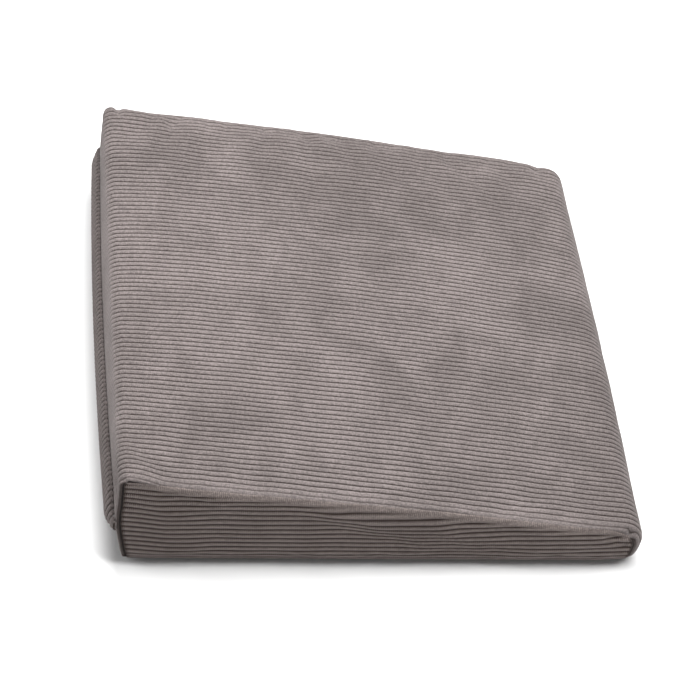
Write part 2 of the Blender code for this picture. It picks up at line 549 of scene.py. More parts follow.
@dataclass(frozen=True)
class Wales:
    """The corduroy's ribs as shape."""

    pitch: float = 0.0047
    groove_floor: float = 0.87
    wander: float = 0.00022
    tuft_height: float = 0.00012
    tuft_scale: float = 420.0

    #: Places within one wale at which the mesh has a row, closest together at the groove.
    ROWS = (0.0, 0.12, 0.31, 0.50, 0.69, 0.88)

    #: Waves in which the wales stray: size, turns along and across a metre in radians, and start.
    WAVES = ((1.0, 61.0, 17.0, 0.0), (0.6, 143.0, -29.0, 1.3), (0.5, 37.0, 240.0, 0.0))

    def rows(self, reach: float) -> Array:
        """Place the mesh rows, in whole wales.

        Args:
            reach: Cloth distance from the middle that the rows cover either way.

        Returns:
            The rows' cloth distances.
        """
        stop = math.ceil(reach / self.pitch)
        rows = [(wale + part) * self.pitch for wale in range(-stop, stop) for part in self.ROWS]
        return np.array(rows + [stop * self.pitch])

    def drift(self, run: Array, across: Array) -> Array:
        """Return how far each wale strays sideways along its run."""
        waves = (size * np.sin(run * a + across * b + start) for size, a, b, start in self.WAVES)
        return self.wander * sum(waves)

    @cached_property
    def tree(self) -> NodeTree:
        """Build the geometry tree that sinks the grooves between the wales.

        Returns:
            The tree.
        """
        sizes = ("Groove Depth", "Groove Floor", "Fullness", "Tuft Height", "Tuft Scale")
        inputs = {"Geometry": "Geometry", **dict.fromkeys(sizes, "Float"), "Cloth": "Material"}
        b = TreeBuilder.group("GeometryNodeTree", "corduroy_relief", inputs, {"Geometry": "Geometry"})
        given = b.add("NodeGroupInput").outputs
        phase, press = (
            b.add("GeometryNodeInputNamedAttribute", {"Name": name}, data_type="FLOAT").outputs["Attribute"]
            for name in ("wale_phase", "relief")
        )
        floor = given["Groove Floor"]
        off = b.math("DIVIDE", b.math("MINIMUM", b.off_crown(phase), floor), floor)
        sink = b.times(b.math("POWER", off, given["Fullness"]), given["Groove Depth"], press)
        noise = b.noise(b.add("GeometryNodeInputPosition").outputs[0], given["Tuft Scale"], 1.0)
        lump = b.times(b.math("SUBTRACT", noise, 0.5), given["Tuft Height"], press)
        offset = b.scaled(b.add("GeometryNodeInputNormal").outputs[0], b.math("SUBTRACT", lump, sink))
        moved = b.add("GeometryNodeSetPosition", {"Geometry": given["Geometry"], "Offset": offset})
        real = b.add("GeometryNodeRealizeInstances", {0: moved.outputs[0]})
        dressed = b.add("GeometryNodeSetMaterial", {"Geometry": real.outputs[0], "Material": given["Cloth"]})
        b.add("NodeGroupOutput", {0: dressed.outputs[0]})
        return b.tree

    def sink(self, obj: Object, cloth: "Corduroy", material: bpy.types.Material) -> Object:
        """Sink the grooves into a piece and keep the result as its plain mesh.

        Args:
            obj: The piece.
            cloth: The piece's corduroy.
            material: Its material.

        Returns:
            The same piece.
        """
        inputs = {
            "Groove Depth": cloth.groove_depth, "Groove Floor": self.groove_floor,
            "Fullness": cloth.fullness, "Tuft Height": self.tuft_height, "Tuft Scale": self.tuft_scale,
            "Cloth": material,
        }
        modifier = obj.modifiers.new(self.tree.name, "NODES")
        modifier.node_group = self.tree
        for item in self.tree.interface.items_tree:
            if item.name in inputs:
                modifier[item.identifier] = inputs[item.name]
        graph = bpy.context.evaluated_depsgraph_get()
        seen = obj.evaluated_get(graph)
        result = bpy.data.meshes.new_from_object(seen, preserve_all_data_layers=True, depsgraph=graph)
        obj.modifiers.clear()
        old, obj.data = obj.data, result
        bpy.data.meshes.remove(old)
        result.name = obj.name
        result.shade_smooth()
        return obj


# --- Corduroy as a material ---------------------------------------------------------------------


@dataclass(frozen=True)
class Pile:
    """What every corduroy material shares: the grooves' masks and the nap."""

    pitch: float
    tooth_pitch: float = 0.0015
    tooth_stagger: float = 2.4
    fray: float = 0.30
    fray_scale: float = 900.0
    patch_scale: float = 24.0
    patch_share: float = 0.6
    patch_range: Span = (0.33, 0.67)
    cloud_scale: float = 7.0
    fleck_scale: float = 900.0
    fleck_range: Span = (0.28, 0.72)
    fleck_stretch: tuple[float, float, float] = (0.6, 1.0, 1.0)
    fuzz_scale: float = 2600.0

    def masks(self) -> NodeTree:
        """Build the masks of the grooves and of the cross threads that show in them.

        Returns:
            The group's tree.
        """
        inputs = {"Vector": "Vector", "Groove Start": "Float", "Groove End": "Float", "Tooth Bite": "Float"}
        outputs = {"Groove": "Float", "Tooth": "Float"}
        b = TreeBuilder.group("ShaderNodeTree", "wale_masks", inputs, outputs)
        given = b.add("NodeGroupInput").outputs
        cloth = b.add("ShaderNodeSeparateXYZ", {0: given["Vector"]}).outputs
        phase = b.math("DIVIDE", cloth[1], self.pitch)
        turns = b.math("DIVIDE", b.times(cloth[0], 2 * math.pi), self.tooth_pitch)
        wave = b.math("SINE", b.math("ADD", turns, b.times(b.math("FLOOR", phase), self.tooth_stagger)))
        tooth = b.times(b.math("ADD", wave, 1.0), 0.5)
        ragged = b.times(b.math("SUBTRACT", b.noise(given["Vector"], self.fray_scale, 2.0), 0.5), self.fray)
        edge = b.math("ADD", b.off_crown(phase), ragged)
        edge = b.math("SUBTRACT", edge, b.times(tooth, given["Tooth Bite"]))
        groove = b.ramp(edge, given["Groove Start"], given["Groove End"])
        b.add("NodeGroupOutput", {"Groove": groove, "Tooth": tooth})
        return b.tree

    def nap(self) -> NodeTree:
        """Build the brushed patches, flecks and fuzz of the pile.

        Returns:
            The group's tree.
        """
        outputs = {"Patch": "Float", "Fleck": "Float", "Fuzz": "Float"}
        b = TreeBuilder.group("ShaderNodeTree", "nap", {"Vector": "Vector"}, outputs)
        place = b.add("NodeGroupInput").outputs["Vector"]
        patch = b.noise(place, self.patch_scale, 4.0, Roughness=0.62, Distortion=0.6)
        cloud = b.times(b.noise(place, self.cloud_scale, 2.0), 1.0 - self.patch_share)
        mixed = b.math("ADD", b.times(patch, self.patch_share), cloud)
        long_way = b.add("ShaderNodeVectorMath", {0: place, 1: self.fleck_stretch}, operation="MULTIPLY")
        fleck = b.noise(long_way.outputs[0], self.fleck_scale, 3.0, Roughness=0.7)
        b.add("NodeGroupOutput", {
            "Patch": b.ramp(mixed, *self.patch_range),
            "Fleck": b.ramp(fleck, *self.fleck_range),
            "Fuzz": b.noise(place, self.fuzz_scale, 2.0),
        })
        return b.tree


@dataclass(frozen=True)
class Corduroy:
    """One way that the corduroy looks, and how deep its grooves are sunk."""

    name: str
    wale: Colour
    brushed: Colour
    # The groove colour is partly the ground weave's own darker colour and partly painted shade in the sunk
    # grooves.
    groove: Colour
    groove_depth: float = 0.0013
    fullness: float = 4.5
    groove_start: float = 0.62
    groove_end: float = 0.88
    groove_strength: float = 0.94
    # How far the painted shade along the side seams darkens the colour towards the groove colour.
    seam_shade_strength: float = 0.85
    tooth_bite: float = 0.05
    tooth_shade: float = 0.03
    patch_strength: float = 0.70
    fleck_strength: float = 0.26
    roughness: Span = (0.82, 0.97)
    specular: float = 0.18
    sheen: float = 0.12
    sheen_roughness: float = 0.45
    sheen_tint: Colour = (0.90, 0.84, 0.82, 1.0)
    bump_strength: float = 0.55
    fuzz_share: float = 0.55
    tooth_height: float = 0.25
    fuzz_height: float = 0.0004

    def material(self, masks: NodeTree, nap: NodeTree) -> bpy.types.Material:
        """Build the material.

        Args:
            masks: The shared group that masks the grooves.
            nap: The shared group of the nap.

        Returns:
            The material.
        """
        material = bpy.data.materials.new(self.name)
        material.use_nodes = True
        b = TreeBuilder(material.node_tree)
        mask = b.add("ShaderNodeGroup", node_tree=masks)
        b.feed(mask, {
            "Vector": b.add("ShaderNodeUVMap", uv_map="cloth").outputs[0],
            "Groove Start": self.groove_start, "Groove End": self.groove_end, "Tooth Bite": self.tooth_bite,
        })
        place = b.add("ShaderNodeTexCoord").outputs["Object"]
        pile = b.add("ShaderNodeGroup", {"Vector": place}, node_tree=nap).outputs
        groove, tooth = mask.outputs["Groove"], mask.outputs["Tooth"]
        fleck = b.ramp(pile["Fleck"], 0.0, 1.0, 1.0 - self.fleck_strength, 1.0 + self.fleck_strength)
        shade = b.times(fleck, b.ramp(tooth, 0.0, 1.0, 1.0 - self.tooth_shade, 1.0 + self.tooth_shade))
        colour = self._mix(b, b.times(pile["Patch"], self.patch_strength), self.wale, self.brushed)
        press, painted_seam_shade = (
            b.add("ShaderNodeAttribute", attribute_name=name).outputs["Fac"] for name in ("relief", "painted_seam_shade")
        )
        # Partly the ground weave's own colour and partly painted shade: the grooves darken towards the groove
        # colour wherever the wales keep their relief.
        groove = b.times(groove, self.groove_strength, press)
        colour = self._mix(b, groove, b.scaled(colour, shade), self.groove)
        # Painted shade: the colour darkens to the groove colour along the side seams, as if the seams' recess
        # lay in shadow.
        colour = self._mix(b, b.times(painted_seam_shade, self.seam_shade_strength), colour, self.groove)
        lint = b.times(pile["Fuzz"], self.fuzz_share), b.times(pile["Fleck"], 1.0 - self.fuzz_share)
        height = b.math("ADD", b.math("ADD", *lint), b.times(tooth, self.tooth_height))
        bump = {"Strength": self.bump_strength, "Distance": self.fuzz_height, "Height": height}
        b.feed(material.node_tree.nodes["Principled BSDF"], {
            "Base Color": colour,
            "Roughness": b.ramp(pile["Fleck"], 0.0, 1.0, *self.roughness),
            "Normal": b.add("ShaderNodeBump", bump).outputs[0],
            "Specular IOR Level": self.specular,
            "Sheen Weight": self.sheen,
            "Sheen Roughness": self.sheen_roughness,
            "Sheen Tint": self.sheen_tint,
        })
        return material

    @staticmethod
    def _mix(b: TreeBuilder, factor: Socket, first: Socket | Colour, second: Socket | Colour) -> Socket:
        """Mix two colours."""
        inputs = {0: factor, 6: first, 7: second}
        return b.add("ShaderNodeMix", inputs, data_type="RGBA", blend_type="MIX").outputs[2]


# --- Creases ------------------------------------------------------------------------------------


@dataclass(frozen=True)
class Crease:
    """One soft ridge (height above 0) or trough (below 0) on a panel's own two axes."""

    a: float
    b: float
    turn: float
    length: float
    width: float
    height: float

    def rise(self, a: Array, b: Array) -> Array:
        """Measure the rise; turn is in degrees from the first axis.

        Args:
            a: Places on the first axis.
            b: Places on the second axis.

        Returns:
            The rise at each place.
        """
        cos, sin = math.cos(math.radians(self.turn)), math.sin(math.radians(self.turn))
        along = (a - self.a) * cos + (b - self.b) * sin
        across = (b - self.b) * cos - (a - self.a) * sin
        return self.height * np.exp(-((along / self.length) ** 4) - (across / self.width) ** 2)


@dataclass(frozen=True)
class Slip:
    """A slanting fold on a gusset, past which the wales lie lower."""

    a: float
    b: float
    slant: float
    width: float
    height: float
    fade: float
    step: float

    def shift(self, a: Array, b: Array) -> Array:
        """Measure how far the wales have dropped.

        Args:
            a: Places along the gusset.
            b: Places up the gusset.

        Returns:
            The drop at each place.
        """
        fold = self.a + (self.b - b) * self.slant
        begun = smooth(a, fold - self.width, fold + self.width)
        gone = smooth(a, self.a + self.width, self.a + self.fade)
        return self.step * begun * (1 - gone) * np.exp(-(((b - self.b) / self.height) ** 2))


@dataclass(frozen=True)
class Gathers:
    """Small gathers that the seams draw into the edges of the main panel."""

    seed: int = 11
    lean: float = 30.0
    length: Span = (0.010, 0.020)
    width: Span = (0.0040, 0.0060)
    depth_share: Span = (0.5, 1.0)
    spacing: Span = (0.012, 0.024)
    end: float = 0.160

    #: Each edge's cloth distance from the middle of the depth, deepest gather and first place in X.
    EDGES = ((0.204, 0.0017, -0.080), (-0.207, 0.0006, -0.165))

    def creases(self) -> list[Crease]:
        """Scatter the gathers.

        Returns:
            The gathers as creases.
        """
        rng = np.random.default_rng(self.seed)
        made = []
        for edge, depth, x in self.EDGES:
            while x < self.end:
                turn = 90 + rng.uniform(-self.lean, self.lean)
                length, width = rng.uniform(*self.length), rng.uniform(*self.width)
                height = -depth * rng.uniform(*self.depth_share)
                made.append(Crease(x, edge, turn, length, width, height))
                x += rng.uniform(*self.spacing)
        return made


def total_rise(creases: Sequence[Crease], a: Array, b: Array) -> Array:
    """Add up the rise of several creases."""
    return sum((crease.rise(a, b) for crease in creases), np.zeros(np.broadcast(a, b).shape))


# --- Filling ------------------------------------------------------------------------------------


@dataclass
class Filling:
    """The cover blown up over its filling by cloth simulation, kept as small offsets.

    The simulation runs on a coarse mesh of the whole cover. Its slow swell is left out, because the
    wedge already has its crown, and what stays are the creases and the gathers at the seams.
    """

    wedge: Wedge
    columns: int = 200
    rows: int = 92
    rings: int = 10
    frames: int = 20
    near_seam_share: float = 0.5
    gain: float = 0.40
    limit: float = 0.0013
    swell_window: int = 9
    hub_fade: Span = (0.30, 0.75)
    base_fade: Span = (0.003, 0.016)
    low_side_width: Span = (0.006, 0.012)
    low_side_height: Span = (0.058, 0.066)
    rest: Array = field(init=False)
    field: Array = field(init=False)

    #: The cloth's settings. The seams shrink, and the rest has a little slack.
    CLOTH = {
        "quality": 6, "mass": 0.15, "tension_stiffness": 25.0, "compression_stiffness": 25.0,
        "bending_stiffness": 0.25, "use_pressure": True, "uniform_pressure_force": 4.0,
        "vertex_group_shrink": "seams", "shrink_min": -0.012, "shrink_max": 0.045,
    }

    def __post_init__(self) -> None:
        self.rest = self._rest()
        self.field = np.zeros_like(self.rest)
        self.field = self._creases(self._simulate() - self.rest)

    def _rest(self) -> Array:
        """Place the smooth cover.

        Returns:
            Rows of points, from the middle of one gusset to the other.
        """
        run = np.linspace(0, self.wedge.outline.length, self.columns, endpoint=False)
        x = self.wedge.outline.at(run)[0]
        share = np.linspace(-1, 1, self.rows)[:, None]
        body = self.wedge.panel(run + 0 * share, share * self.wedge.seam_reach(x))
        hub_x, hub_z = self.wedge.hub
        way = (np.arange(1, self.rings) / self.rings)[:, None]
        ends = []
        for side, seam in ((-1, body[0]), (1, body[-1])):
            cap_x = hub_x + (seam[:, 0] - hub_x) * way
            cap_z = hub_z + (seam[:, 2] - hub_z) * way
            ends.append(np.stack([cap_x, side * self.wedge.end_depth(cap_x, cap_z), cap_z], -1))
        return np.concatenate([ends[0], body, ends[1][::-1]])

    def _simulate(self) -> Array:
        """Blow the coarse cover up.

        Returns:
            Its points, in rows like those at rest.
        """
        rows, columns = self.rest.shape[:2]
        cover = new_tube("coarse_cover", self.rest, (self.rest[0].mean(0), self.rest[-1].mean(0)))
        seams = cover.vertex_groups.new(name=self.CLOTH["vertex_group_shrink"])
        for seam in (self.rings - 1, rows - self.rings):
            for near, weight in ((0, 1.0), (-1, self.near_seam_share), (1, self.near_seam_share)):
                seams.add((np.arange(columns) + (seam + near) * columns).tolist(), weight, "REPLACE")
        cloth = cover.modifiers.new("cloth", "CLOTH")
        for key, value in self.CLOTH.items():
            setattr(cloth.settings, key, value)
        cloth.settings.effector_weights.gravity = 0.0
        cloth.collision_settings.use_collision = False
        cloth.point_cache.frame_end = self.frames
        for frame in range(1, self.frames + 1):
            bpy.context.scene.frame_set(frame)
        seen = cover.evaluated_get(bpy.context.evaluated_depsgraph_get()).to_mesh()
        moved = np.zeros(3 * len(seen.vertices))
        seen.vertices.foreach_get("co", moved)
        bpy.context.scene.frame_set(1)
        mesh = cover.data
        bpy.data.objects.remove(cover)
        bpy.data.meshes.remove(mesh)
        return moved[:self.rest.size].reshape(self.rest.shape)

    def _creases(self, offset: Array) -> Array:
        """Keep the short waves of an offset, none on the base or behind the lap.

        Args:
            offset: How far the simulation moved each point.

        Returns:
            The offset that stays.
        """
        slow = offset
        weights = np.hanning(self.swell_window + 2)[1:-1]
        weights = weights / weights.sum()
        half = self.swell_window // 2
        for _ in range(2):
            around = sum(w * np.roll(slow, k - half, axis=1) for k, w in enumerate(weights))
            padded = np.pad(around, ((half, half), (0, 0), (0, 0)), mode="edge")
            slow = sum(w * padded[k:k + len(offset)] for k, w in enumerate(weights))
        waves = (offset - slow) * self.gain
        waves = (np.roll(waves, 1, axis=1) + 2 * waves + np.roll(waves, -1, axis=1)) / 4
        waves[1:-1] = (waves[:-2] + 2 * waves[1:-1] + waves[2:]) / 4
        rows = np.arange(len(waves))
        from_hub = np.minimum(rows, rows[::-1]) / self.rings
        waves = waves * smooth(from_hub, *self.hub_fade)[:, None, None]
        size = np.linalg.norm(waves, axis=-1, keepdims=True)
        waves = waves * np.minimum(1.0, self.limit / np.maximum(size, TINY))
        x, z = self.rest[..., 0], self.rest[..., 2]
        low_side = 1 - smooth(self.wedge.inward(x), *self.low_side_width)
        low_side = low_side * (1 - smooth(z, *self.low_side_height))
        waves = waves * (smooth(z, *self.base_fade) * (1 - low_side))[..., None]
        LOG.info("creases: %.1f mm at most", 1000 * float(np.linalg.norm(waves, axis=-1).max()))
        return waves

    def _sample(self, run: Array, row: Array) -> Array:
        """Look up the offset between the coarse points.

        Args:
            run: Distances along the outline.
            row: Places between the coarse rows.

        Returns:
            The offset at each place.
        """
        column = np.mod(run / self.wedge.outline.length, 1.0) * self.columns
        row = np.clip(row, 0, len(self.field) - 1 - TINY)
        i, j = np.floor(row).astype(int), np.floor(column).astype(int) % self.columns
        p, q = (row - np.floor(row))[..., None], (column - np.floor(column))[..., None]
        k = (j + 1) % self.columns
        low, high = (self.field[at, j] * (1 - q) + self.field[at, k] * q for at in (i, i + 1))
        return low * (1 - p) + high * p

    def on_panel(self, run: Array, share: Array) -> Array:
        """Return offsets on the main panel; share is -1 at the front seam and 1 at the back one."""
        return self._sample(run, self.rings - 1 + (share + 1) / 2 * (self.rows - 1))

    def on_gusset(self, side: int, run: Array, way: Array) -> Array:
        """Return offsets on a gusset; way is 0 at its middle and 1 at its seam."""
        run, way = np.broadcast_arrays(run, way)
        return self._sample(run, way * self.rings - 1 if side < 0 else len(self.field) - way * self.rings)


# --- The pieces ---------------------------------------------------------------------------------


#: How much of the wales' relief is lost past a seam, near it, under the cushion and where brushed flat.
SEAM_FLATTENING = 0.85
RIM_FLATTENING = 0.45
BASE_FLATTENING = 0.35
BRUSHED_FLATTENING = 0.75

#: Sideways share of a panel's normal at which the painted shade along its seams begins, and is full.
SEAM_SHADE_TURN = (0.35, 0.80)


def walk(outline: Outline, step: Callable[[float], float]) -> Array:
    """Place columns round an outline.

    Args:
        outline: The outline.
        step: Gives the wanted step at a distance along the outline.

    Returns:
        Distances along the outline, stretched a little so that the last step closes the ring.
    """
    places = [0.0]
    while places[-1] < outline.length:
        places.append(places[-1] + step(places[-1]))
    return np.array(places[:-1]) * outline.length / places[-1]


@dataclass
class MainPanel:
    """The filled body inside its main panel, from the closure over the top and under the base."""

    wedge: Wedge
    wales: Wales
    filling: Filling
    lean: float = 0.0095
    fine_step: float = 0.0021
    fine_reach: float = 0.040
    top_step: float = 0.0048
    side_step: float = 0.0050
    turn_step: float = 0.0020
    turn_window: Span = (-0.002, 0.003)
    turn_limit: float = 0.996
    base_step: float = 0.0240
    level: float = 0.9
    tip_height: float = 0.03
    crease_fade: Span = (0.0, 0.5)
    seam_fade: Span = (-0.0008, 0.0010)
    rim_fade: Span = (-0.0120, -0.0010)
    base_fade: Span = (0.9, 0.99)
    brushed_turn: Span = (0.60, 0.95)
    brushed_height: float = 0.012
    brushed_inset: Span = (0.012, 0.040)
    seam_shade_reach: Span = (-0.0024, -0.0006)
    creases: Sequence[Crease] = ()

    def step(self, run: float) -> float:
        """Choose the step between columns, shortest where the panel turns.

        Args:
            run: Distance along the outline.

        Returns:
            The step.
        """
        outline = self.wedge.outline
        x, _, _, nz = outline.at(np.array(run))
        _, _, ax, az = outline.at(run + np.array(self.turn_window))
        if ax[0] * ax[1] + az[0] * az[1] < self.turn_limit:
            return self.turn_step
        if abs(nz) <= self.level:
            return self.side_step
        if nz < 0:
            return self.base_step
        near_side = abs(float(x) - self.wedge.shift) > self.wedge.half_width - self.fine_reach
        return self.fine_step if near_side else self.top_step

    def strain(self, x: Array, reach: Array) -> Array:
        """Return how far the wales lean towards the front seam at the thin end."""
        share = np.clip((x - self.wedge.shift) / (2 * self.wedge.half_width) + 0.5, 0, 1)
        return self.lean * share * np.clip(0.5 - reach / (2 * self.wedge.half_depth), 0, 1)

    def build(self) -> Object:
        """Build the panel.

        Returns:
            One closed body.
        """
        wedge, outline = self.wedge, self.wedge.outline
        end = wedge.half_depth - wedge.soft_roll.radius + wedge.soft_roll.length
        run, cloth = np.meshgrid(walk(outline, self.step), self.wales.rows(end))
        x, z, nx, nz = outline.at(run)
        reach = cloth - self.strain(x, cloth) + self.wales.drift(run, cloth)
        points = wedge.panel(run, reach)
        edge = wedge.seam_reach(x)
        rise = total_rise(self.creases, x - wedge.shift, reach) * smooth(nz, *self.crease_fade)
        points = points + np.stack([nx * rise, np.zeros_like(rise), nz * rise], -1)
        points = points + self.filling.on_panel(run, np.clip(reach / edge, -1, 1))
        depths = points[0, :, 1].max(), points[-1, :, 1].min()
        tips = [np.array([wedge.hub[0], y, self.tip_height]) for y in depths]
        piece = new_tube("cushion_body", points, tips)
        past = np.abs(reach) - edge
        brushed = smooth(-nx, *self.brushed_turn) * smooth(z, wedge.knee, wedge.knee + self.brushed_height)
        relief = 1.0 - SEAM_FLATTENING * smooth(past, *self.seam_fade)
        relief = relief * (1.0 - RIM_FLATTENING * smooth(past, *self.rim_fade))
        relief = relief * (1.0 - BASE_FLATTENING * smooth(-nz, *self.base_fade))
        relief = relief * (1.0 - BRUSHED_FLATTENING * brushed * smooth(-past, *self.brushed_inset))
        # Painted shade along the side seams, strongest in the last millimetres before each seam.
        painted_seam_shade = smooth(past, *self.seam_shade_reach) * smooth(np.abs(nx), *SEAM_SHADE_TURN)
        store(piece, "wale_phase", with_tips(cloth) / self.wales.pitch)
        store(piece, "relief", with_tips(relief))
        store(piece, "painted_seam_shade", with_tips(painted_seam_shade, 1.0, 1.0))
        store_cloth_map(piece, with_tips(run), with_tips(cloth), outline.length)
        return piece


def unfold(x: Array, z: Array, hub: Span) -> Pair:
    """Straighten the places where rings round a hub turn back on themselves, as at tight corners.

    Args:
        x: X of rings of points, one ring to a row.
        z: Z of the same points.
        hub: The middle that the rings run round.

    Returns:
        The rings with every point that runs backwards moved between its nearest good neighbours.
    """
    x, z = x.copy(), z.copy()
    index = np.arange(x.shape[1])
    for ring_x, ring_z in zip(x, z):
        turn = np.unwrap(np.arctan2(ring_z - hub[1], ring_x - hub[0]))
        turn = turn * np.sign(turn[-1] - turn[0])
        good = (turn >= np.maximum.accumulate(turn)) & (turn <= np.minimum.accumulate(turn[::-1])[::-1])
        ring_x[:] = np.interp(index, index[good], ring_x[good])
        ring_z[:] = np.interp(index, index[good], ring_z[good])
    return x, z


@dataclass
class Gusset:
    """A wedge-shaped side panel with level wales."""

    wedge: Wedge
    wales: Wales
    filling: Filling
    side: int
    name: str
    creases: Sequence[Crease] = ()
    slips: Sequence[Slip] = ()
    rings: int = 66
    edge_rows: int = 15
    upright_step: float = 0.00065
    upright_turn: Span = (0.2, 0.75)
    level_step: float = 0.0028
    crease_fade: Span = (0.9, 0.95)
    brushed_turn: Span = (0.5, 0.9)
    brushed_reach: Span = (-0.0090, -0.0015)
    seam_fade: Span = (-0.0008, 0.0006)
    seam_shade_reach: Span = (-0.0014, -0.0002)

    def step(self, run: float) -> float:
        """Return the step between columns, short on the upright ends."""
        steep = float(smooth(np.abs(self.wedge.outline.at(np.array(run))[2]), *self.upright_turn))
        return self.level_step + (self.upright_step - self.level_step) * steep

    def edge(self, share: Array, scale: Array) -> tuple[Array, Array, Array]:
        """Roll the edge, from the hidden allowance to the face.

        Args:
            share: Share of the side roll at each station.
            scale: Size of the side roll at each station.

        Returns:
            Sink behind the face, distance inside the seam and cloth past the seam, by row and station.
        """
        rows = []
        for main, size in ((self.wedge.soft_roll, np.ones_like(scale)), (self.wedge.side_roll, scale)):
            roll = EdgeRoll(main.radius, math.radians(90) - main.first_turn)
            past = np.linspace(roll.length, 0.0, self.edge_rows)[:, None] * np.ones_like(scale)
            sink, travel = roll.place(past)
            seam_travel = roll.place(np.array(roll.seam))[1]
            rows.append(np.stack([sink * size, (seam_travel - travel) * size, (past - roll.seam) * size]))
        return tuple(rows[0] + (rows[1] - rows[0]) * share)

    def build(self) -> Object:
        """Build the gusset: its face, the rolled edge and a plain back.

        Returns:
            A closed shell.
        """
        wedge = self.wedge
        run = walk(wedge.outline, self.step)
        x, z, nx, nz = wedge.outline.at(run)
        share = wedge.side_share(x)
        inset = wedge.seam_inset(x) + wedge.seam_gap + wedge.side_gap * share
        sink, inside, past = self.edge(share, wedge.side_scale(x))
        hub_x, hub_z = wedge.hub
        edge_x, edge_z = unfold(x - nx * (inset + inside), z - nz * (inset + inside), wedge.hub)
        way = (1 - np.arange(1, self.rings) / self.rings)[:, None]
        face_x, face_z = hub_x + (edge_x[-1] - hub_x) * way, hub_z + (edge_z[-1] - hub_z) * way
        grid_x, height = np.vstack([edge_x, face_x]), np.vstack([edge_z, face_z])
        sink = np.vstack([sink, np.zeros_like(face_x)])
        past = np.vstack([past, -np.hypot(face_x - edge_x[-1], face_z - edge_z[-1]) + past[-1]])
        depth = wedge.end_depth(grid_x, height) - sink
        rise = total_rise(self.creases, grid_x - wedge.shift, height)
        fade = (part * wedge.half_depth for part in self.crease_fade)
        depth = depth + rise * smooth(np.abs(depth), *fade)
        grid_z = wedge.crown(grid_x, height, np.full_like(height, self.side))[1]
        points = np.stack([grid_x, self.side * depth, grid_z], -1)
        seam = np.hypot(x - nx * inset - hub_x, z - nz * inset - hub_z)
        out = np.clip(np.hypot(grid_x - hub_x, height - hub_z) / seam, 0, 1)
        points = points + self.filling.on_gusset(self.side, run, out)
        middle = points[-1].mean(0)
        back = np.array([middle[0], self.side * float(depth[0].min()), middle[2]])
        piece = new_tube(self.name, points, (back, middle))
        along = wedge.inward(with_tips(grid_x, hub_x, hub_x))
        up = with_tips(height, hub_z, hub_z)
        up = up + self.wales.drift(along, up)
        up = up + sum(slip.shift(along - wedge.half_width, up) for slip in self.slips)
        relief = 1.0 - SEAM_FLATTENING * smooth(past, *self.seam_fade)
        brushed = smooth(nz, *self.brushed_turn) * smooth(past, *self.brushed_reach)
        relief = relief * (1.0 - BRUSHED_FLATTENING * brushed)
        # Painted shade along the gusset's side seams, strongest in the last millimetre before the seam.
        painted_seam_shade = smooth(past, *self.seam_shade_reach) * smooth(np.abs(nx), *SEAM_SHADE_TURN)
        store(piece, "wale_phase", up / self.wales.pitch)
        store(piece, "relief", with_tips(relief, 0.0, 1.0))
        store(piece, "painted_seam_shade", with_tips(painted_seam_shade, 1.0, 0.0))
        store_cloth_map(piece, along, up)
        return piece


